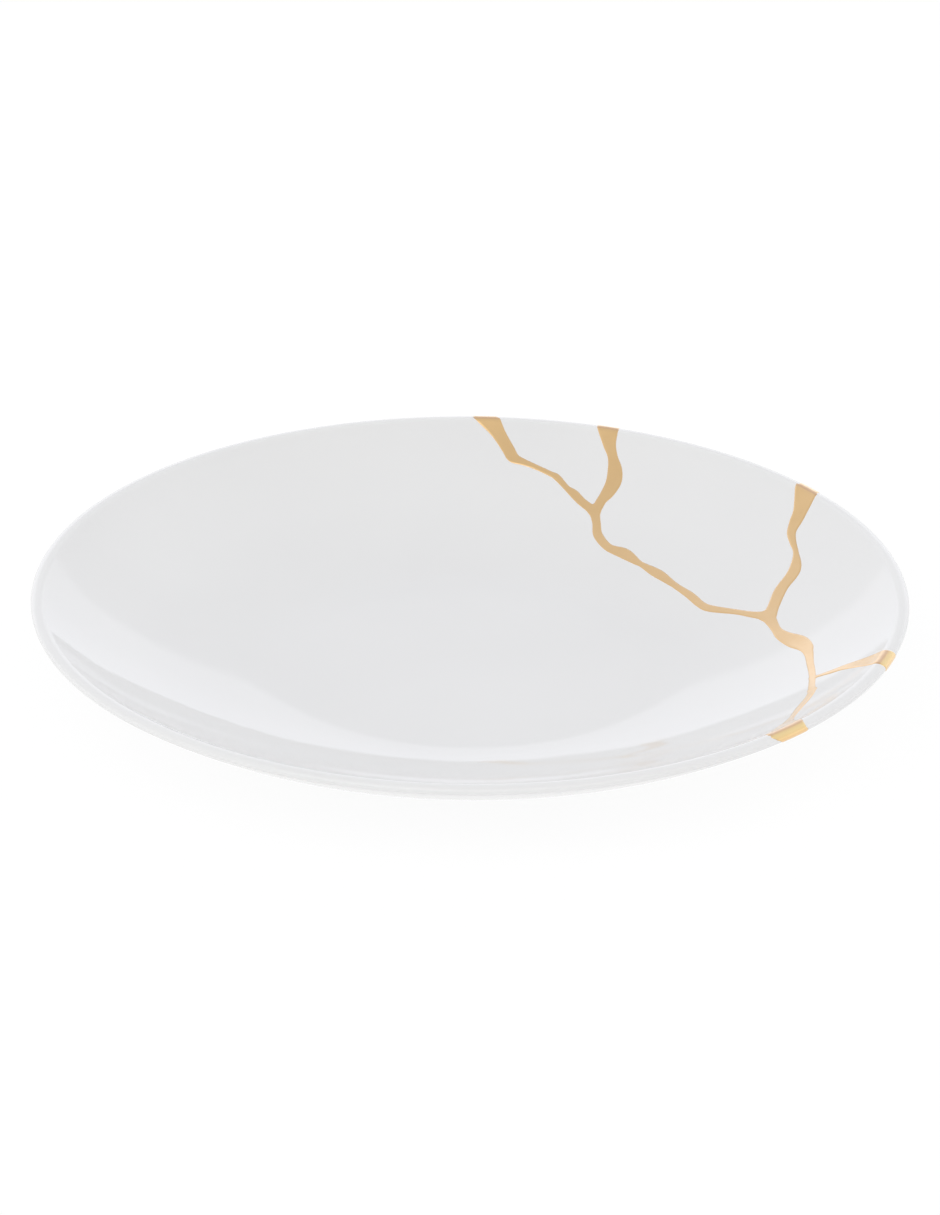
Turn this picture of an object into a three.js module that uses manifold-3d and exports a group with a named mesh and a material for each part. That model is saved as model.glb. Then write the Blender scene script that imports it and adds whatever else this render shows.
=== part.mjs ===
// Kintsugi bread plate: a round white porcelain plate on a low foot ring, with one branching gold
// seam over its right-hand side that runs out over the lip in five places.
// Millimetres, +Z up. The origin is on the plate's axis, level with the underside of the foot ring.
// Seen from the front, +X is to the right and +Y is away from the viewer.

import * as THREE from 'three';
import { mergeVertices } from 'three/addons/utils/BufferGeometryUtils.js';
import Module from 'manifold-3d';

// Plate body
const PLATE_R = 80;
const WELL_Z = 5; // height of the well floor
const FLOOR_T = 3.2; // thickness of the floor and of the lower wall
const LIP_T = 2.2; // thickness of the wall at the lip
const SEGMENTS = 96; // facets around the plate

// Inner face: each ring ends an arc, with the slope there in degrees
const WELL_R = 33;
const COVE_R = 42;
const COVE_SLOPE = 10;
const FLANK_R = 50;
const FLANK_SLOPE = 13.5;
const WALL_R = 70;
const WALL_SLOPE = 26.6;
const LIP_SLOPE = 35.5;
const COVE_STEPS = 3;
const FLANK_STEPS = 1;
const WALL_STEPS = 4;
const RIM_STEPS = 2;

// Lip: a wide arc over the top, then a tighter one round the outer edge
const LIP_TOP_R = 2;
const LIP_TURN = 30; // degrees past the crest where the tighter arc starts
const LIP_TOP_STEPS = 4;
const LIP_EDGE_STEPS = 4;

// Foot ring
const FOOT_R = 41.5;
const FOOT_W = 3;
const FOOT_EDGE = 0.4; // bevel beside the face it stands on
const FOOT_FILLET = 0.6; // bevel where the ring meets the body

// Gold seam
const GOLD_T = 0.25;
const GOLD_GAP = 0.05; // bonding layer between the glaze and the gold
const SEAM_STEPS = 4; // outline steps between two bends
const SEAM_TOP = 30; // above the lip

// Course of the seam seen from above: each bend is [x, y, width]
const SEAM = {
  backRim: [
    [0.6, 81.6, 4.6], [2.9, 78.5, 4.4], [5.3, 75.3, 3.2], [7.2, 71.8, 2.7], [9, 69.4, 2.6],
    [12.5, 67.5, 1.4], [15.6, 65.4, 1.5], [19.2, 60.8, 1.9], [21.4, 58.2, 2.1], [23.5, 55.4, 2.3],
  ],
  backRightRim: [
    [27.4, 76.5, 5.2], [27, 73.6, 4.6], [26.8, 70.6, 2.9], [27.4, 67.6, 2.2], [27.9, 64.4, 2.9],
    [27.4, 61.6, 3.2], [25.4, 57.6, 2.4], [23.9, 54.6, 2.2],
  ],
  trunk: [
    [23.7, 55.6, 2.4], [24.2, 51.8, 1.9], [24.5, 48.2, 2], [26, 44.7, 2.5], [29.4, 41.3, 2.9],
    [32.2, 37.8, 1.7], [36, 33.1, 2.4], [39.6, 27.1, 1.7], [43.2, 21.1, 2.1], [45.6, 18.4, 2.1],
    [50, 15.2, 1.8], [55.2, 11.4, 2.8],
  ],
  rightRim: [
    [65, 49.5, 5.4], [64.2, 46, 5], [61.9, 39.2, 3.2], [60.7, 35.6, 1.8], [60.8, 32, 1.3],
    [61.1, 28.4, 1.6], [60.3, 23.8, 2.8], [57.6, 18, 2.7], [55.4, 11.6, 3],
  ],
  lowerTrunk: [
    [55, 12.2, 2.8], [56.5, 5.5, 2.1], [59.6, -1.6, 3.9], [61.3, -7, 2.2], [61.7, -14, 1.4],
    [61.6, -21.5, 1.4], [61.2, -27.6, 1.6],
  ],
  sideRim: [
    [61.5, -21.4, 0.8], [64.4, -22, 0.8], [67.4, -22.6, 2.3], [70.6, -24.8, 4.2], [75.2, -28, 6],
    [77.8, -29.2, 6.2],
  ],
  frontRim: [
    [61.3, -26.8, 1.6], [60.6, -31, 1.5], [58.4, -37.6, 1.1], [56.8, -43, 0.9], [55.8, -47, 2],
    [55.2, -51.5, 5], [55.4, -56.3, 8.8], [57.6, -58.8, 9],
  ],
};

const radians = THREE.MathUtils.degToRad;
const wasm = await Module();
wasm.setup();

// Points of the inner face along one arc, after its first point
function arc(from, r, slopeDegrees, steps) {
  const slope = radians(slopeDegrees);
  const radius = (r - from.r) / (Math.sin(slope) - Math.sin(from.slope));
  const points = [];
  for (let i = 1; i <= steps; i++) {
    const a = from.slope + ((slope - from.slope) * i) / steps;
    points.push({
      r: from.r + radius * (Math.sin(a) - Math.sin(from.slope)),
      z: from.z + radius * (Math.cos(from.slope) - Math.cos(a)),
      slope: a,
    });
  }
  return points;
}

// Radius of the lip's outer edge that leaves the wall its thickness
function lipEdgeRadius() {
  const turn = Math.cos(radians(LIP_SLOPE + LIP_TURN));
  return (LIP_T - LIP_TOP_R * (1 - turn)) / (1 + turn);
}

// Inner face from the edge of the flat well up to the start of the rounded lip
function innerFace() {
  const turn = Math.sin(radians(LIP_TURN));
  const crestR = PLATE_R - LIP_TOP_R * turn - lipEdgeRadius() * (1 - turn);
  const lipStartR = crestR - LIP_TOP_R * Math.sin(radians(LIP_SLOPE));
  const face = [{ r: WELL_R, z: WELL_Z, slope: 0 }];
  face.push(...arc(face.at(-1), COVE_R, COVE_SLOPE, COVE_STEPS));
  face.push(...arc(face.at(-1), FLANK_R, FLANK_SLOPE, FLANK_STEPS));
  face.push(...arc(face.at(-1), WALL_R, WALL_SLOPE, WALL_STEPS));
  face.push(...arc(face.at(-1), lipStartR, LIP_SLOPE, RIM_STEPS));
  return face;
}

// A point moved square off the inner face: up and inwards, or into the wall if negative
function offset({ r, z, slope }, distance) {
  return new THREE.Vector2(r - Math.sin(slope) * distance, z + Math.cos(slope) * distance);
}

// Wall thickness, which thins from the cove to the lip
function wallThickness({ r }, lipStart) {
  const up = THREE.MathUtils.clamp((r - COVE_R) / (lipStart.r - COVE_R), 0, 1);
  return LIP_T + (FLOOR_T - LIP_T) * (1 - up) ** 2;
}

// Two arcs over the lip from the inner face to the outer one, raised by a height
function lipArcs(lipStart, height) {
  const edgeRadius = lipEdgeRadius();
  const turn = Math.PI / 2 - radians(LIP_TURN);
  const topCentre = offset(lipStart, -LIP_TOP_R);
  const between = LIP_TOP_R - edgeRadius;
  const edgeCentre = new THREE.Vector2(
    topCentre.x + between * Math.cos(turn),
    topCentre.y + between * Math.sin(turn),
  );
  const start = lipStart.slope + Math.PI / 2;
  const points = [];
  const sweep = (centre, radius, from, to, steps, first) => {
    for (let i = first; i <= steps; i++) {
      const a = from + ((to - from) * i) / steps;
      points.push(new THREE.Vector2(centre.x + radius * Math.cos(a), centre.y + radius * Math.sin(a)));
    }
  };
  sweep(topCentre, LIP_TOP_R + height, start, turn, LIP_TOP_STEPS, 0);
  sweep(edgeCentre, edgeRadius + height, turn, start - Math.PI, LIP_EDGE_STEPS, 1);
  return points;
}

// Underside and foot ring, from the axis out to the ring's outer wall
function footProfile() {
  const recess = WELL_Z - FLOOR_T;
  const inner = FOOT_R - FOOT_W;
  return [
    [0, recess],
    [inner - FOOT_FILLET, recess],
    [inner, recess - FOOT_FILLET],
    [inner, FOOT_EDGE],
    [inner + FOOT_EDGE, 0],
    [FOOT_R - FOOT_EDGE, 0],
    [FOOT_R, FOOT_EDGE],
    [FOOT_R, recess - FOOT_FILLET / 2],
    [FOOT_R + FOOT_FILLET, recess + FOOT_FILLET / 2],
  ].map(([r, z]) => new THREE.Vector2(r, z));
}

// A profile of radius and height turned about the Z axis
function turned(profile) {
  return new THREE.LatheGeometry(profile, SEGMENTS).rotateX(Math.PI / 2);
}

function plateGeometry(face) {
  const lipStart = face.at(-1);
  const outer = face.filter(({ r }) => r >= COVE_R && r < lipStart.r);
  const profile = [
    ...footProfile(),
    ...outer.map((point) => offset(point, -wallThickness(point, lipStart))),
    ...lipArcs(lipStart, 0).reverse(),
    ...face.slice(0, -1).reverse().map((point) => offset(point, 0)),
    new THREE.Vector2(0, WELL_Z),
  ];
  return turned(profile);
}

// Thin ring that follows the inner face, goes over the lip and a little way down the outside
function goldRing(face) {
  const lipStart = face.at(-1);
  const inside = face.filter(({ r }) => r >= COVE_R && r < lipStart.r);
  const last = inside.at(-1);
  const layer = (height) => [
    ...inside.map((point) => offset(point, height)),
    ...lipArcs(lipStart, height),
    offset(last, -wallThickness(last, lipStart) - height),
  ];
  const profile = [...layer(GOLD_GAP).reverse(), ...layer(GOLD_GAP + GOLD_T)];
  profile.push(profile[0].clone());
  return turned(profile.reverse());
}

// Upright block with the outline of one branch of the seam
function branchBlock(bends) {
  const corners = bends.map((bend) => new THREE.Vector3(...bend));
  const course = new THREE.CatmullRomCurve3(corners, false, 'catmullrom');
  const points = course.getPoints((bends.length - 1) * SEAM_STEPS);
  const left = [];
  const right = [];
  points.forEach((point, i) => {
    const before = points[Math.max(i - 1, 0)];
    const after = points[Math.min(i + 1, points.length - 1)];
    const along = new THREE.Vector2(after.x - before.x, after.y - before.y).normalize();
    const side = new THREE.Vector2(-along.y, along.x).multiplyScalar(point.z / 2);
    left.push(new THREE.Vector2(point.x + side.x, point.y + side.y));
    right.push(new THREE.Vector2(point.x - side.x, point.y - side.y));
  });
  const outline = new THREE.Shape([...left, ...right.reverse()]);
  return new THREE.ExtrudeGeometry(outline, { depth: SEAM_TOP, bevelEnabled: false });
}

// Closed geometry to a solid that can be joined and cut
function toSolid(geometry) {
  const bare = geometry.index ? geometry.toNonIndexed() : geometry.clone();
  bare.deleteAttribute('normal');
  bare.deleteAttribute('uv');
  const merged = mergeVertices(bare, 1e-4);
  const index = merged.index.array;
  const triangles = [];
  for (let i = 0; i < index.length; i += 3) {
    const [a, b, c] = index.slice(i, i + 3);
    if (a !== b && b !== c && c !== a) triangles.push(a, b, c);
  }
  const mesh = new wasm.Mesh({
    numProp: 3,
    vertProperties: new Float32Array(merged.attributes.position.array),
    triVerts: new Uint32Array(triangles),
  });
  return new wasm.Manifold(mesh);
}

function toGeometry(solid) {
  const mesh = solid.getMesh();
  const geometry = new THREE.BufferGeometry();
  geometry.setAttribute('position', new THREE.BufferAttribute(mesh.vertProperties, 3));
  geometry.setIndex(new THREE.BufferAttribute(mesh.triVerts, 1));
  geometry.computeVertexNormals();
  return geometry;
}

function goldGeometry(face) {
  const branches = Object.values(SEAM).map((bends) => toSolid(branchBlock(bends)));
  const network = branches.reduce((whole, branch) => whole.add(branch));
  return toGeometry(toSolid(goldRing(face)).intersect(network));
}

function namedMesh(name, geometry, material) {
  const mesh = new THREE.Mesh(geometry, new THREE.MeshStandardMaterial(material));
  mesh.name = name;
  return mesh;
}

const face = innerFace();
const plate = new THREE.Group();
plate.add(
  namedMesh('plate', plateGeometry(face), { color: 0xf2f2f1, roughness: 0.12, metalness: 0 }),
  namedMesh('gold_seam', goldGeometry(face), { color: 0xd9b478, roughness: 0.35, metalness: 1 }),
);

export default plate;
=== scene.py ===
# Kintsugi bread plate: white glazed porcelain with one branching gold seam, on a white studio floor.
# The scene is in metres, +Z up, with the origin on the plate's axis under its foot and the camera along +Y.
import math

import bpy
import numpy as np
from mathutils import Matrix, Vector


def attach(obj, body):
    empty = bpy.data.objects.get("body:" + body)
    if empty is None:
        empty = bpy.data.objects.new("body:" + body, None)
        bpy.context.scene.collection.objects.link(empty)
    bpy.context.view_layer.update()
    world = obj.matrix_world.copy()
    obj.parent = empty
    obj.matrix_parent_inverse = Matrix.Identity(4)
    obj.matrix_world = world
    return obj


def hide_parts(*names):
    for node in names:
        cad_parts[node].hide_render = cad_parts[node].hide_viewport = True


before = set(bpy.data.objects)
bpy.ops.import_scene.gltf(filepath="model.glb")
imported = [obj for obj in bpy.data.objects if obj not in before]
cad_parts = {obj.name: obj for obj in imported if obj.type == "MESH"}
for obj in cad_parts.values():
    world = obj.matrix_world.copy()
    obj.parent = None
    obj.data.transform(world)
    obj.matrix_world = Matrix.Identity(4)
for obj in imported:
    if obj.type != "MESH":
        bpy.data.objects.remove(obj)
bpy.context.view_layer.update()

MM = 0.001  # shapes are worked out in millimetres

# Plate body, in millimetres
PLATE_R = 79.99
WELL_Z = 5.0
FLOOR_T = 3.2
LIP_T = 2.2
SEGMENTS = 384

# Inner face: radius and slope in degrees where each arc ends
WELL_R = 33.0
COVE_R, COVE_SLOPE = 42.0, 10.0
FLANK_R, FLANK_SLOPE = 50.0, 13.5
WALL_R, WALL_SLOPE = 70.0, 26.6
LIP_SLOPE = 35.5
SLOPE_BLEND = 3.0  # width over which one arc eases into the next
FINE_STEP = 0.05  # step of the radius table
FLAT_R, FLAT_STEP = 31.0, 3.0  # step of the mesh over the flat of the well
FACE_STEP = 0.8  # step of the mesh along both faces
RIM_R, RIM_STEP = 58.0, 0.4  # from here to the lip the inner face has a finer step
OUTER_END_R = COVE_R + 1.0  # the outer face ends here, just outside the foot ring

# Lip: a wide arc over the top, then a tighter one round the outer edge
LIP_TOP_R = 2.0
LIP_TURN = 30.0  # degrees past the crest where the tighter arc starts
LIP_TOP_STEP, LIP_EDGE_STEP = 2.0, 6.0  # degrees between two rows of the mesh

# Foot ring, in millimetres
FOOT_R = 41.5
FOOT_W = 3.0
FOOT_EDGE = 0.4
FOOT_FILLET = 0.6
CORNER_STEPS = 6
RECESS_ROWS = 12  # rows of the mesh over the recess inside the ring

# Gold seam, in millimetres
GOLD_H = 0.1  # height of the gold over the glaze
GOLD_EDGE = 0.45  # width of its rounded edge
GOLD_ROOT = -0.02  # its edge is sunk this far into the glaze
GOLD_BACK = -0.06  # its hidden back face
GOLD_CELL = 0.16  # mesh size
JOIN_BLEND = 0.6  # fillet where branches meet
JOIN_REACH = 3 * JOIN_BLEND  # a branch is worked out this far outside its edge
WRAP_LENGTH = 7.0  # how far the gold goes past the crest of the lip
WRAP_TIP = 1.8  # width it tapers to there
WRAP_CORNER = 1.0  # fillet at the corners of that end
SEAM_STEPS = 24  # centre-line steps between two bends
SEAM_ANGLES = (-56.0, 98.0)  # all the gold lies between these directions about the axis, in degrees
CHART_MARGIN = 1.0  # the chart goes on this far past the end of the gold
FAR = 10.0  # distance from the gold where none is near

# Course of the seam on the inner face, seen from above: each bend is (x, y, width)
SEAM = {
    "back_rim": [
        (5.2, 75.2, 2.9), (7.2, 71.7, 2.5), (8.2, 69.8, 2.4), (10.0, 68.8, 1.7), (12.4, 67.5, 1.3),
        (15.3, 65.6, 1.3), (16.5, 64.7, 1.5), (18.4, 61.9, 1.3), (19.8, 60.2, 1.9), (21.3, 57.9, 1.9),
        (23.4, 55.3, 2.1),
    ],
    "back_right_rim": [
        (26.8, 70.6, 2.7), (27.4, 67.6, 2.0), (27.8, 64.4, 2.9), (27.5, 61.6, 3.2), (26.3, 59.1, 2.8),
        (25.1, 57.4, 2.2), (23.9, 54.9, 2.2),
    ],
    "trunk": [
        (23.7, 55.4, 2.2), (24.1, 51.8, 1.7), (24.4, 48.0, 1.9), (26.2, 44.2, 2.0), (29.0, 41.8, 2.9),
        (31.4, 38.6, 1.8), (32.7, 37.1, 1.5), (35.3, 33.8, 2.4), (38.3, 29.2, 1.6), (41.2, 24.6, 1.9),
        (43.1, 20.7, 1.9), (45.1, 18.4, 2.2), (49.9, 15.2, 1.7), (52.3, 13.3, 2.0), (55.0, 11.4, 3.0),
    ],
    "right_rim": [
        (62.6, 41.1, 3.5), (61.6, 38.7, 3.0), (60.6, 36.0, 2.0), (60.7, 33.0, 1.4), (61.1, 29.4, 1.2),
        (60.5, 23.9, 2.8), (57.9, 19.3, 2.8), (56.3, 14.2, 2.6), (55.3, 11.0, 3.2),
    ],
    "lower_trunk": [
        (54.9, 11.9, 2.9), (56.3, 5.7, 1.9), (57.5, 2.0, 2.8), (59.7, -2.0, 4.0), (61.2, -5.6, 2.9),
        (61.6, -8.8, 1.9), (61.6, -14.0, 1.5), (61.6, -20.5, 1.4), (61.2, -25.4, 1.4), (61.1, -28.4, 1.7),
    ],
    "side_rim": [(70.6, -24.8, 4.0), (67.4, -22.6, 2.5), (64.6, -22.0, 1.7), (61.5, -21.4, 1.0)],
    "front_rim": [
        (55.0, -51.5, 4.9), (55.8, -47.0, 2.3), (56.8, -43.0, 1.3), (58.3, -37.6, 1.6), (60.6, -31.0, 1.6),
        (61.1, -28.4, 1.7),
    ],
}

# Where a branch goes over the lip: each bend is (distance past the crest, angle about the axis, width)
WRAPS = {
    "back_rim": [(WRAP_LENGTH, 90.4, WRAP_TIP), (3.2, 89.3, 4.3), (0.9, 88.2, 4.8)],
    "back_right_rim": [(WRAP_LENGTH, 71.3, WRAP_TIP), (3.2, 70.9, 4.2), (0.9, 70.4, 4.6)],
    "right_rim": [(WRAP_LENGTH, 37.3, WRAP_TIP), (3.2, 36.6, 5.2), (0.9, 35.9, 5.7)],
    "side_rim": [(WRAP_LENGTH, -19.6, WRAP_TIP), (3.2, -20.1, 5.6), (0.0, -20.4, 6.0)],
    "front_rim": [(WRAP_LENGTH, -43.9, WRAP_TIP), (2.6, -44.8, 6.5), (1.3, -45.6, 7.7), (0.0, -45.5, 8.3)],
}

# Porcelain: a noise is (scale per metre, detail), and a span is the (start, stop) of a ramp
GLAZE_CLOUD, GLAZE_CLOUD_SPAN = (28, 3), (0.35, 0.65)
WALL_WHITES = (0.814, 0.814, 0.814), (0.826, 0.826, 0.824)
WELL_WHITES = (0.792, 0.792, 0.792), (0.804, 0.804, 0.804)
WELL_SPAN = (0.0056, 0.011)  # heights in metres where the greyer tone of the well starts to fade and ends
GLOSS_CLOUD, GLOSS_CLOUD_SPAN = (60, 2), (0.3, 0.7)
GLAZE_ROUGHNESS = (0.03, 0.06)
GLAZE_WAVE, GLAZE_WAVE_STRENGTH, GLAZE_WAVE_DEPTH = (90, 2), 0.06, 0.0004
GLAZE_IOR = 1.5
BARE_SPAN = (0.0001, 0.0003)  # heights in metres where the bare clay of the foot starts to fade and ends
CLAY_COLOURS = (0.66, 0.63, 0.58), (0.76, 0.73, 0.68)
CLAY_GRAIN = (2500, 2)
CLAY_ROUGHNESS = 0.65

# Gold: spans past the crest of the lip and in from the outline are in millimetres
GOLD_COLOURS = (0.880, 0.590, 0.272), (0.855, 0.566, 0.254)
GOLD_CLOUD, GOLD_CLOUD_SPAN = (220, 3), (0.3, 0.7)
# Painted highlight: the gold on the outer face of the lip, just past the crest, is lightened to stand in for
# bright light reflected there
PAINTED_HIGHLIGHT_COLOUR = (0.960, 0.720, 0.330)
PAINTED_HIGHLIGHT_RISE, PAINTED_HIGHLIGHT_FALL = (0.1, 0.6), (1.0, 1.8)
DARK_COLOUR = (0.70, 0.43, 0.22)
# Painted shade: a thin dark line on the gold along the crest of the lip, standing in for a dark reflection
# there
CREST_SHADE_STRENGTH, CREST_SHADE_RISE, CREST_SHADE_FALL = 0.85, (-0.75, -0.4), (0.0, 0.35)
OUTLINE_STRENGTH, OUTLINE_SPAN = 0.4, (0.02, 0.25)
SATIN_CLOUD, SATIN_CLOUD_SPAN = (900, 3), (0.3, 0.7)
GOLD_ROUGHNESS = (0.28, 0.38)
GOLD_GRAIN, GOLD_GRAIN_STRENGTH, GOLD_GRAIN_DEPTH = (600, 2), 0.1, 0.0002
VEIL_ROUGHNESS, VEIL_IOR = 0.12, 1.65

# Floor, lengths in millimetres
FLOOR_R = 6000.0
FLOOR_Z = -0.05
FLOOR_SEGMENTS = 96
FLOOR_GREY = 0.15
FLOOR_GLOW = 0.86
FLOOR_ROUGHNESS = 0.9

# Studio light by direction from the plate: heights in degrees, other spans in x or y of the direction
BACKDROP_LIGHT = 1.30  # a bright low band behind the plate and beside it
BACKDROP_TOP, BACKDROP_SOFT = 20.4, 1.0  # its upper edge, and half the width of that edge
BACKDROP_RIGHT, BACKDROP_FADE = 1.12, (0.44, 0.68)  # it dims to this at the far right
BACKDROP_TINT, TINT_SPAN = (0.945, 0.953, 1.0), (0.0, 0.9)
CEILING_LIGHT, ZENITH_LIGHT = 0.92, 0.712
WINDOW_LIGHT = 0.97  # a faint window at the back right
WINDOW_RIGHT, WINDOW_BACK = (0.2, 0.45), (0.0, 0.2)
WINDOW_BOTTOM, WINDOW_TOP = (30.0, 38.0), (48.0, 58.0)
ROOM_LIGHT, ROOM_TOP = 0.35, 20.0  # a dim room behind the camera
PANEL_LEFT, PANEL_RIGHT, PANEL_BOTTOM = 3.63, 0.92, 39.0  # a panel above that, brighter at the left
FRONT_NEAR, FRONT_FAR = 0.22, 0.75  # room and panel start and are in full this far to the front
GLOSSY_BOUNCES = 12  # light that glances along the hollow of the wall bounces many times

# Camera, fitted to the photograph's outline of the plate: metres, degrees, lens and sensor in millimetres
CAMERA_DISTANCE = 1.0  # from the middle of the lip's circle
CAMERA_ELEVATION = 25.134
CAMERA_ROLL = 0.49
CAMERA_LENS = 162.4
SENSOR_WIDTH = 36.0
CAMERA_TARGET_Z = 0.0157
LIP_HEIGHT = 0.01964


def lip_edge_radius():
    """Radius of the lip's outer edge that leaves the wall its thickness."""
    turn = math.cos(math.radians(LIP_SLOPE + LIP_TURN))
    return (LIP_T - LIP_TOP_R * (1 - turn)) / (1 + turn)


def lip_start_radius():
    """Radius where the inner face goes over into the lip."""
    turn = math.sin(math.radians(LIP_TURN))
    crest = PLATE_R - LIP_TOP_R * turn - lip_edge_radius() * (1 - turn)
    return crest - LIP_TOP_R * math.sin(math.radians(LIP_SLOPE))


def slope_table():
    """Radius, height and slope of the inner face from the axis to the start of the lip."""
    stop = lip_start_radius()
    r = np.linspace(0.0, stop, int(stop / FINE_STEP) + 1)
    rings = [0.0, WELL_R, COVE_R, FLANK_R, WALL_R, stop]
    slopes = np.radians([0.0, 0.0, COVE_SLOPE, FLANK_SLOPE, WALL_SLOPE, LIP_SLOPE])
    sine = np.interp(r, rings, np.sin(slopes))
    half = int(SLOPE_BLEND / FINE_STEP / 2)
    padded = np.concatenate([np.full(half, sine[0]), sine, 2 * sine[-1] - sine[-half - 1:-1][::-1]])
    slope = np.arcsin(np.convolve(padded, np.full(2 * half + 1, 1 / (2 * half + 1)), mode="valid"))
    rise = np.tan((slope[1:] + slope[:-1]) / 2) * np.diff(r)
    z = WELL_Z + np.concatenate([[0.0], np.cumsum(rise)])
    return r, z, slope


FACE_R, FACE_Z, FACE_SLOPE = slope_table()
LIP_START_R = FACE_R[-1]


def wall_thickness(r):
    """The wall thins from the cove to the lip."""
    up = np.clip((r - COVE_R) / (LIP_START_R - COVE_R), 0, 1)
    return LIP_T + (FLOOR_T - LIP_T) * (1 - up) ** 2


def face_rows(start, stop, step, outer):
    """Points and outward normals along the inner face of the wall or along the outer one."""
    count = max(int(round(abs(stop - start) / step)), 2)
    r = np.linspace(start, stop, count + 1)
    z = np.interp(r, FACE_R, FACE_Z)
    slope = np.interp(r, FACE_R, FACE_SLOPE)
    normal = np.stack([-np.sin(slope), np.cos(slope)], axis=1)
    if not outer:
        return np.stack([r, z], axis=1), normal
    return np.stack([r, z], axis=1) - normal * wall_thickness(r)[:, None], -normal


def arc_rows(centre, radius, start, stop, step):
    """Points and normals along an arc between two directions, in degrees."""
    count = max(int(round(abs(stop - start) / step)), 2)
    angle = np.radians(np.linspace(start, stop, count + 1))
    normal = np.stack([np.cos(angle), np.sin(angle)], axis=1)
    return centre + normal * radius, normal


def lip_rows(top_step, edge_step):
    """Points and normals over the lip, from the inner face to the outer one."""
    slope = math.degrees(FACE_SLOPE[-1])
    edge = lip_edge_radius()
    start, normal = face_rows(LIP_START_R - FACE_STEP, LIP_START_R, FACE_STEP, False)
    centre = start[-1] - normal[-1] * LIP_TOP_R
    top, top_normal = arc_rows(centre, LIP_TOP_R, 90 + slope, 90 - LIP_TURN, top_step)
    centre = centre + top_normal[-1] * (LIP_TOP_R - edge)
    side, side_normal = arc_rows(centre, edge, 90 - LIP_TURN, slope - 90, edge_step)
    return np.concatenate([top, side[1:]]), np.concatenate([top_normal, side_normal[1:]])


def rounded(corner, before, after, radius):
    """Points of a small arc that rounds a corner of a profile."""
    corner, before, after = (np.array(p, float) for p in (corner, before, after))
    a = corner + (before - corner) / np.linalg.norm(before - corner) * radius
    b = corner + (after - corner) / np.linalg.norm(after - corner) * radius
    t = np.linspace(0, 1, CORNER_STEPS + 1)[:, None]
    return (1 - t) ** 2 * a + 2 * t * (1 - t) * corner + t ** 2 * b


def foot_rows(outer_end):
    """The foot ring and the underside, from the outer wall in to the axis."""
    recess = WELL_Z - FLOOR_T
    inner = FOOT_R - FOOT_W
    corners = [
        tuple(outer_end), (FOOT_R, recess + FOOT_FILLET / 2), (FOOT_R, 0.0), (inner, 0.0), (inner, recess),
        (0.0, recess),
    ]
    radii = [None, FOOT_FILLET, FOOT_EDGE, FOOT_EDGE, FOOT_FILLET, None]
    rows = []
    for i in range(1, len(corners) - 1):
        rows.append(rounded(corners[i], corners[i - 1], corners[i + 1], radii[i]))
    ring = np.linspace(inner - FOOT_FILLET, 0, RECESS_ROWS)[1:]
    rows.append(np.stack([ring, np.full_like(ring, recess)], axis=1))
    return np.concatenate(rows)


def plate_profile():
    """The outline of the plate from the middle of the well, over the lip, to the middle underneath."""
    flat, _ = face_rows(0.0, FLAT_R, FLAT_STEP, False)
    wall, _ = face_rows(FLAT_R, RIM_R, FACE_STEP, False)
    rim, _ = face_rows(RIM_R, LIP_START_R, RIM_STEP, False)
    lip, _ = lip_rows(LIP_TOP_STEP, LIP_EDGE_STEP)
    outer, _ = face_rows(LIP_START_R, OUTER_END_R, FACE_STEP, True)
    return np.concatenate([flat[:-1], wall[:-1], rim[:-1], lip, outer[1:], foot_rows(outer[-1])])


def new_object(name, vertices, faces):
    """A smooth-shaded mesh object in the scene, from vertices in millimetres."""
    mesh = bpy.data.meshes.new(name)
    mesh.from_pydata((np.asarray(vertices) * MM).tolist(), [], faces)
    mesh.update()
    mesh.polygons.foreach_set("use_smooth", [True] * len(mesh.polygons))
    thing = bpy.data.objects.new(name, mesh)
    bpy.context.scene.collection.objects.link(thing)
    return thing


def turned(name, profile):
    """A profile that starts and ends on the axis, turned about it."""
    angle = np.linspace(0, 2 * math.pi, SEGMENTS, endpoint=False)
    ring = profile[1:-1]
    rows = len(ring)
    x = ring[:, 0][:, None] * np.cos(angle)
    y = ring[:, 0][:, None] * np.sin(angle)
    z = np.repeat(ring[:, 1][:, None], SEGMENTS, axis=1)
    vertices = np.stack([x, y, z], axis=2).reshape(-1, 3)
    first, last = rows * SEGMENTS, rows * SEGMENTS + 1
    vertices = np.concatenate([vertices, [[0, 0, profile[0, 1]], [0, 0, profile[-1, 1]]]])
    faces = []
    for j in range(SEGMENTS):
        k = (j + 1) % SEGMENTS
        faces.append((first, j, k))
        faces.append((last, (rows - 1) * SEGMENTS + k, (rows - 1) * SEGMENTS + j))
        for i in range(rows - 1):
            a, b = i * SEGMENTS, (i + 1) * SEGMENTS
            faces.append((a + j, b + j, b + k, a + k))
    return new_object(name, vertices, faces)


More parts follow.
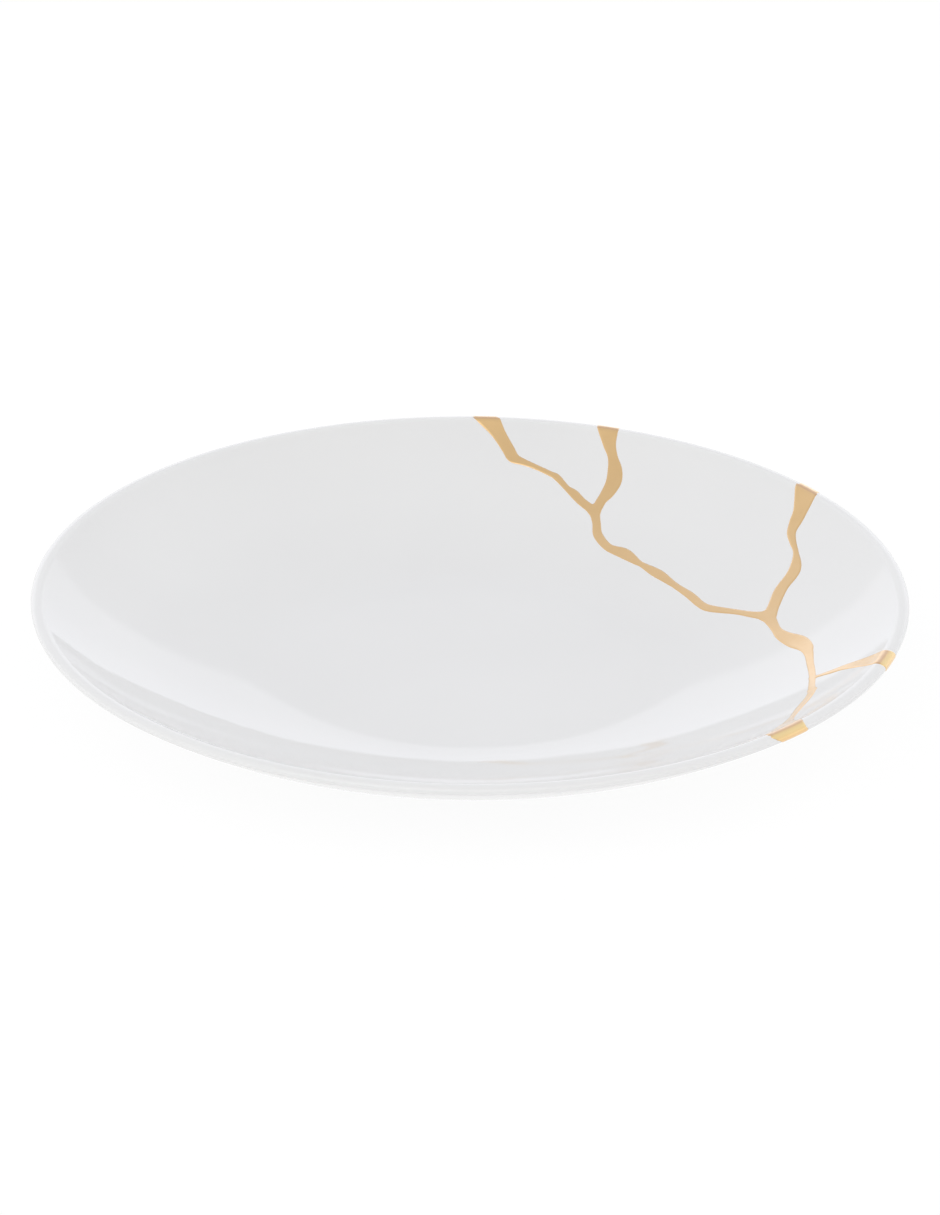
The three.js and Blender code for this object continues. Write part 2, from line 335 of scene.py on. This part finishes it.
class Chart:
    """The glaze under the gold, laid out flat: distance along the profile, and angle about the axis."""

    def __init__(self):
        inner, inner_normal = face_rows(COVE_R, LIP_START_R, GOLD_CELL, False)
        lip, lip_normal = lip_rows(LIP_TOP_STEP, LIP_TOP_STEP)
        outer, outer_normal = face_rows(LIP_START_R, LIP_START_R - 2 * WRAP_LENGTH, GOLD_CELL, True)
        self.points = np.concatenate([inner[:-1], lip, outer[1:]])
        self.normals = np.concatenate([inner_normal[:-1], lip_normal, outer_normal[1:]])
        self.along = np.concatenate([[0.0], np.cumsum(np.linalg.norm(np.diff(self.points, axis=0), axis=1))])
        self.inner_r, self.inner_along = inner[:, 0], self.along[:len(inner)]
        self.crest = self.along[np.argmax(self.points[:, 1])]
        self.end = self.crest + WRAP_LENGTH

    def place(self, x, y):
        """Chart position of a point on the inner face seen from above."""
        return np.interp(np.hypot(x, y), self.inner_r, self.inner_along), np.arctan2(y, x)

    def radius(self, s):
        """Distance from the axis."""
        return np.interp(s, self.along, self.points[:, 0])

    def lift(self, s, angle, height):
        """Point in space over a chart position."""
        z = np.interp(s, self.along, self.points[:, 1])
        nr = np.interp(s, self.along, self.normals[:, 0])
        nz = np.interp(s, self.along, self.normals[:, 1])
        length = np.hypot(nr, nz)
        r = self.radius(s) + nr / length * height
        z = z + nz / length * height
        return np.stack([r * np.cos(angle), r * np.sin(angle), z], axis=1)


def smooth_course(bends):
    """A curve through all the bends, with their widths."""
    p = np.array(bends, float)
    p = np.concatenate([[2 * p[0] - p[1]], p, [2 * p[-1] - p[-2]]])
    t = np.linspace(0, 1, SEAM_STEPS, endpoint=False)[:, None]
    course = []
    for p0, p1, p2, p3 in zip(p[:-3], p[1:-2], p[2:-1], p[3:]):
        bend = (2 * p0 - 5 * p1 + 4 * p2 - p3) * t ** 2 + (3 * p1 - p0 - 3 * p2 + p3) * t ** 3
        course.append((2 * p1 + (p2 - p0) * t + bend) / 2)
    return np.concatenate(course + [p[-2:-1]])


def branch_course(chart, name):
    """Centre line of one branch in the chart: distance along the profile, angle and width."""
    bends = []
    for past, angle, width in WRAPS.get(name, []):
        bends.append((chart.crest + past, math.radians(angle), width))
    for x, y, width in SEAM[name]:
        s, angle = chart.place(x, y)
        bends.append((s, angle, width))
    return smooth_course(bends)


def blend_min(a, b, size):
    """The smaller of two distances, with a fillet where they are near each other."""
    near = np.clip(0.5 + (b - a) / (2 * size), 0, 1)
    return b + (a - b) * near - size * near * (1 - near)


def disc_distance(course, s, angle, radius):
    """Distance from the edge of a row of discs along the centre line of a branch."""
    distance = np.full((len(s), len(angle)), FAR)
    for step_s, step_angle, width in course:
        across = (angle - step_angle)[None, :] * radius[:, None]
        along = (s - step_s)[:, None]
        distance = np.minimum(distance, np.hypot(across, along) - width / 2)
    return distance


def strip_distance(course, s, angle, radius):
    """Distance from the edges of a branch straight across it, for the strip that goes over the lip."""
    centre = np.interp(s, course[::-1, 0], course[::-1, 1])
    width = np.interp(s, course[::-1, 0], course[::-1, 2])
    return np.abs(angle[None, :] - centre[:, None]) * radius[:, None] - width[:, None] / 2


def seam_distance(chart, s, angle):
    """Distance from the edge of the gold over a chart grid, negative inside it."""
    distance = np.full((len(s), len(angle)), FAR)
    radius = chart.radius(s)
    for name in SEAM:
        course = branch_course(chart, name)
        reach = course[:, 2].max() / 2 + JOIN_REACH
        rows = np.flatnonzero((s > course[:, 0].min() - reach) & (s < course[:, 0].max() + reach))
        turn = reach / radius[rows].min()
        columns = np.flatnonzero((angle > course[:, 1].min() - turn) & (angle < course[:, 1].max() + turn))
        near_s, near_angle, near_radius = s[rows], angle[columns], radius[rows]
        branch = disc_distance(course, near_s, near_angle, near_radius)
        if name in WRAPS:
            over = near_s >= chart.crest
            branch[over] = strip_distance(course, near_s[over], near_angle, near_radius[over])
        near = np.ix_(rows, columns)
        distance[near] = blend_min(distance[near], branch, JOIN_BLEND)
    end = (s - chart.end)[:, None] + np.zeros_like(distance)
    return -blend_min(-distance, -end, WRAP_CORNER)


def gold_height(depth):
    """Height of the gold at a depth in from its edge: a rounded edge and a flat top."""
    t = np.clip(depth / GOLD_EDGE, 0, 1)
    return GOLD_ROOT + (GOLD_H - GOLD_ROOT) * np.sqrt(1 - (1 - t) ** 2)


def inside_cells(distance):
    """Grid polygons cut off at distance zero: their corners as (row, column, depth), and the polygons."""
    corners, polygons, known = [], [], {}

    def corner(key, row, column, depth):
        if key not in known:
            known[key] = len(corners)
            corners.append((row, column, depth))
        return known[key]

    inside = distance < 0
    touched = inside[:-1, :-1] | inside[1:, :-1] | inside[:-1, 1:] | inside[1:, 1:]
    for i, j in np.argwhere(touched):
        ring = [(i, j), (i + 1, j), (i + 1, j + 1), (i, j + 1)]
        polygon = []
        for here, after in zip(ring, ring[1:] + ring[:1]):
            d0, d1 = distance[here], distance[after]
            if d0 < 0:
                polygon.append(corner(here, here[0], here[1], -d0))
            if (d0 < 0) != (d1 < 0):
                t = d0 / (d0 - d1)
                row = here[0] + (after[0] - here[0]) * t
                column = here[1] + (after[1] - here[1]) * t
                polygon.append(corner(frozenset((here, after)), row, column, 0.0))
        polygons.append(polygon)
    return np.array(corners, float), polygons


def add_attribute(thing, name, values):
    """A number at each vertex for the material to read, in millimetres."""
    layer = thing.data.attributes.new(name, "FLOAT", "POINT")
    layer.data.foreach_set("value", np.asarray(values, np.float32))


def sheet_faces(polygons, count):
    """Faces of a closed sheet with this many corners: its top, its back and the rim between them."""
    edges = {}
    for polygon in polygons:
        edges.update(dict.fromkeys(zip(polygon, polygon[1:] + polygon[:1])))
    top = [tuple(polygon) for polygon in polygons]
    back = [tuple(count + v for v in reversed(polygon)) for polygon in polygons]
    rim = [(b, a, count + a, count + b) for a, b in edges if (b, a) not in edges]
    return top + back + rim


def make_gold():
    """The gold as a closed sheet with rounded edges that lies on the glaze and wraps over the lip."""
    chart = Chart()
    s = np.arange(0.0, chart.end + CHART_MARGIN, GOLD_CELL)
    first, last = map(math.radians, SEAM_ANGLES)
    angle = np.arange(first, last, GOLD_CELL / PLATE_R)
    corners, polygons = inside_cells(seam_distance(chart, s, angle))
    corner_s = np.interp(corners[:, 0], np.arange(len(s)), s)
    corner_angle = np.interp(corners[:, 1], np.arange(len(angle)), angle)
    depth = corners[:, 2]
    top = chart.lift(corner_s, corner_angle, gold_height(depth))
    back = chart.lift(corner_s, corner_angle, np.full(len(depth), GOLD_BACK))
    gold = new_object("gold_line", np.concatenate([top, back]), sheet_faces(polygons, len(depth)))
    add_attribute(gold, "edge_depth", np.concatenate([depth, np.zeros(len(depth))]))
    add_attribute(gold, "past_crest", np.tile(corner_s - chart.crest, 2))
    return gold


class Nodes:
    """A node tree, with short ways to add what the materials and the light are made of."""

    def __init__(self, tree):
        self.tree = tree

    def add(self, kind, **settings):
        """A new node with these settings."""
        node = self.tree.nodes.new(kind)
        for key, value in settings.items():
            setattr(node, key, value)
        return node

    def feed(self, value, socket):
        """Give a socket a number, a colour or the output of another node."""
        if isinstance(value, (int, float)):
            socket.default_value = value
        elif isinstance(value, tuple):
            socket.default_value = (*value, 1)
        else:
            self.tree.links.new(value, socket)

    def place(self, space):
        """X, Y and Z of the shaded place, or of the direction of the light, in a named space."""
        split = self.add("ShaderNodeSeparateXYZ")
        self.feed(self.add("ShaderNodeTexCoord").outputs[space], split.inputs["Vector"])
        return split.outputs

    def noise(self, scale, detail):
        """Noise in the object's own metres."""
        texture = self.add("ShaderNodeTexNoise")
        texture.inputs["Scale"].default_value = scale
        texture.inputs["Detail"].default_value = detail
        self.feed(self.add("ShaderNodeTexCoord").outputs["Object"], texture.inputs["Vector"])
        return texture.outputs["Fac"]

    def attribute(self, name):
        """A number that the mesh carries at its vertices."""
        return self.add("ShaderNodeAttribute", attribute_name=name).outputs["Fac"]

    def ramp(self, factor, low, high, start, stop):
        """A value that goes from low to high, numbers or sockets, as the factor goes from start to stop."""
        node = self.add("ShaderNodeMapRange", clamp=True)
        self.feed(factor, node.inputs["Value"])
        for name, value in zip(("From Min", "From Max", "To Min", "To Max"), (start, stop, low, high)):
            self.feed(value, node.inputs[name])
        return node.outputs["Result"]

    def band(self, factor, strength, rise, fall):
        """A strength that rises from zero over one span of the factor and falls back over another."""
        risen = self.ramp(factor, 0, strength, *rise)
        return self.ramp(factor, risen, 0, *fall)

    def mix(self, factor, a, b):
        """A colour between a and b, each a colour or a socket."""
        node = self.add("ShaderNodeMix", data_type="RGBA")
        self.feed(factor, node.inputs["Factor"])
        for name, value in (("A", a), ("B", b)):
            self.feed(value, [i for i in node.inputs if i.name == name and i.type == "RGBA"][0])
        return [o for o in node.outputs if o.type == "RGBA"][0]

    def relief(self, shader, strength, depth, height):
        """Fine relief in the surface of a shader, with its depth in metres."""
        bump = self.add("ShaderNodeBump")
        bump.inputs["Strength"].default_value = strength
        bump.inputs["Distance"].default_value = depth
        self.feed(height, bump.inputs["Height"])
        self.feed(bump.outputs["Normal"], shader.inputs["Normal"])


def new_material(name):
    """A new node material, its shader and its nodes."""
    material = bpy.data.materials.new(name)
    material.use_nodes = True
    return material, material.node_tree.nodes["Principled BSDF"], Nodes(material.node_tree)


def porcelain_material():
    """White porcelain under a clear glaze, greyer in the well, bare on the foot's standing face."""
    material, shader, nodes = new_material("porcelain")
    height = nodes.place("Object")["Z"]
    cloud = nodes.ramp(nodes.noise(*GLAZE_CLOUD), 0, 1, *GLAZE_CLOUD_SPAN)
    in_well = nodes.ramp(height, 1, 0, *WELL_SPAN)
    body = nodes.mix(in_well, nodes.mix(cloud, *WALL_WHITES), nodes.mix(cloud, *WELL_WHITES))
    bare = nodes.ramp(height, 1, 0, *BARE_SPAN)
    clay = nodes.mix(nodes.noise(*CLAY_GRAIN), *CLAY_COLOURS)
    nodes.feed(nodes.mix(bare, body, clay), shader.inputs["Base Color"])
    rough = nodes.add("ShaderNodeMath", operation="MAXIMUM")
    nodes.feed(nodes.ramp(nodes.noise(*GLOSS_CLOUD), *GLAZE_ROUGHNESS, *GLOSS_CLOUD_SPAN), rough.inputs[0])
    nodes.feed(nodes.ramp(bare, 0, CLAY_ROUGHNESS, 0, 1), rough.inputs[1])
    nodes.feed(rough.outputs["Value"], shader.inputs["Roughness"])
    nodes.relief(shader, GLAZE_WAVE_STRENGTH, GLAZE_WAVE_DEPTH, nodes.noise(*GLAZE_WAVE))
    shader.inputs["IOR"].default_value = GLAZE_IOR
    return material


def gold_material():
    """Satin gold under a clear veil, dark at its outline, with painted shade along the crest and a painted
    highlight past it.
    """
    material, shader, nodes = new_material("gold")
    past_crest = nodes.attribute("past_crest")
    cloud = nodes.ramp(nodes.noise(*GOLD_CLOUD), 0, 1, *GOLD_CLOUD_SPAN)
    body = nodes.mix(cloud, *GOLD_COLOURS)
    # painted highlight: brighter gold just past the crest of the lip
    with_painted_highlight = nodes.mix(nodes.band(past_crest, 1, PAINTED_HIGHLIGHT_RISE, PAINTED_HIGHLIGHT_FALL), body, PAINTED_HIGHLIGHT_COLOUR)
    # painted shade: a dark line along the crest of the lip
    crest = nodes.band(past_crest, CREST_SHADE_STRENGTH, CREST_SHADE_RISE, CREST_SHADE_FALL)
    outline = nodes.ramp(nodes.attribute("edge_depth"), OUTLINE_STRENGTH, 0, *OUTLINE_SPAN)
    lined = nodes.mix(outline, nodes.mix(crest, with_painted_highlight, DARK_COLOUR), DARK_COLOUR)
    nodes.feed(lined, shader.inputs["Base Color"])
    satin = nodes.ramp(nodes.noise(*SATIN_CLOUD), *GOLD_ROUGHNESS, *SATIN_CLOUD_SPAN)
    nodes.feed(satin, shader.inputs["Roughness"])
    nodes.relief(shader, GOLD_GRAIN_STRENGTH, GOLD_GRAIN_DEPTH, nodes.noise(*GOLD_GRAIN))
    shader.inputs["Metallic"].default_value = 1.0
    shader.inputs["Coat Weight"].default_value = 1.0
    shader.inputs["Coat Roughness"].default_value = VEIL_ROUGHNESS
    shader.inputs["Coat IOR"].default_value = VEIL_IOR
    return material


def floor_material():
    """A matt grey that glows nearly white, so that only a faint shadow shows on it."""
    material, shader, _ = new_material("floor")
    shader.inputs["Base Color"].default_value = (FLOOR_GREY, FLOOR_GREY, FLOOR_GREY, 1)
    shader.inputs["Roughness"].default_value = FLOOR_ROUGHNESS
    shader.inputs["Specular IOR Level"].default_value = 0.0
    shader.inputs["Emission Color"].default_value = (1, 1, 1, 1)
    shader.inputs["Emission Strength"].default_value = FLOOR_GLOW
    return material


def make_floor():
    """A large round floor just under the plate."""
    angle = np.linspace(0, 2 * math.pi, FLOOR_SEGMENTS, endpoint=False)
    level = np.full(FLOOR_SEGMENTS, FLOOR_Z)
    ring = np.stack([FLOOR_R * np.cos(angle), FLOOR_R * np.sin(angle), level], axis=1)
    floor = new_object("floor", ring, [tuple(range(FLOOR_SEGMENTS))])
    floor.data.materials.append(floor_material())


def z_at(degrees):
    """Z of a direction that points this far above the horizon."""
    return math.sin(math.radians(degrees))


def make_light():
    """Light by direction: backdrop, ceiling and window behind the plate, room and panel in front of it."""
    world = bpy.data.worlds.new("studio")
    bpy.context.scene.world = world
    world.use_nodes = True
    nodes = Nodes(world.node_tree)
    sky = world.node_tree.nodes["Background"]
    x, y, z = nodes.place("Generated")
    backdrop_edge = z_at(BACKDROP_TOP - BACKDROP_SOFT), z_at(BACKDROP_TOP + BACKDROP_SOFT)
    ceiling = nodes.ramp(z, CEILING_LIGHT, ZENITH_LIGHT, backdrop_edge[1], 1)
    window = nodes.ramp(x, ceiling, WINDOW_LIGHT, *WINDOW_RIGHT)
    window = nodes.ramp(y, ceiling, window, *WINDOW_BACK)
    window = nodes.ramp(z, window, ceiling, *map(z_at, WINDOW_TOP))
    window = nodes.ramp(z, ceiling, window, *map(z_at, WINDOW_BOTTOM))
    backdrop = nodes.ramp(x, BACKDROP_LIGHT, BACKDROP_RIGHT, *BACKDROP_FADE)
    behind = nodes.ramp(z, backdrop, window, *backdrop_edge)
    panel = nodes.ramp(x, PANEL_LEFT, PANEL_RIGHT, -1, 1)
    front = nodes.ramp(z, ROOM_LIGHT, panel, z_at(ROOM_TOP), z_at(PANEL_BOTTOM))
    nodes.feed(nodes.ramp(y, front, behind, -FRONT_FAR, -FRONT_NEAR), sky.inputs["Strength"])
    tint = nodes.ramp(y, 0, 1, *TINT_SPAN)
    nodes.feed(nodes.mix(tint, (1.0, 1.0, 1.0), BACKDROP_TINT), sky.inputs["Color"])


def make_camera():
    """Long lens at the photograph's angle, with its slight roll."""
    data = bpy.data.cameras.new("camera")
    data.lens = CAMERA_LENS
    data.sensor_width = SENSOR_WIDTH
    camera = bpy.data.objects.new("camera", data)
    bpy.context.scene.collection.objects.link(camera)
    lift = math.radians(CAMERA_ELEVATION)
    camera.location = (0, -CAMERA_DISTANCE * math.cos(lift), CAMERA_DISTANCE * math.sin(lift) + LIP_HEIGHT)
    look = Vector((0, 0, CAMERA_TARGET_Z)) - camera.location
    turn = look.to_track_quat("-Z", "Y").to_matrix().to_4x4()
    roll = Matrix.Rotation(math.radians(CAMERA_ROLL), 4, "Z")
    camera.matrix_world = Matrix.Translation(camera.location) @ turn @ roll
    bpy.context.scene.camera = camera


def make_plate():
    """The porcelain and the gold, each in place of its CAD node."""
    porcelain = turned("porcelain_body", plate_profile())
    porcelain.data.materials.append(porcelain_material())
    gold = make_gold()
    gold.data.materials.append(gold_material())
    for piece, node, slot in ((porcelain, "plate", "porcelain"), (gold, "gold_seam", "gold")):
        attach(piece, "root")
        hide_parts(node)


make_plate()
make_floor()
make_light()
make_camera()
bpy.context.scene.view_settings.view_transform = "Standard"
bpy.context.scene.cycles.glossy_bounces = GLOSSY_BOUNCES
bpy.context.view_layer.update()
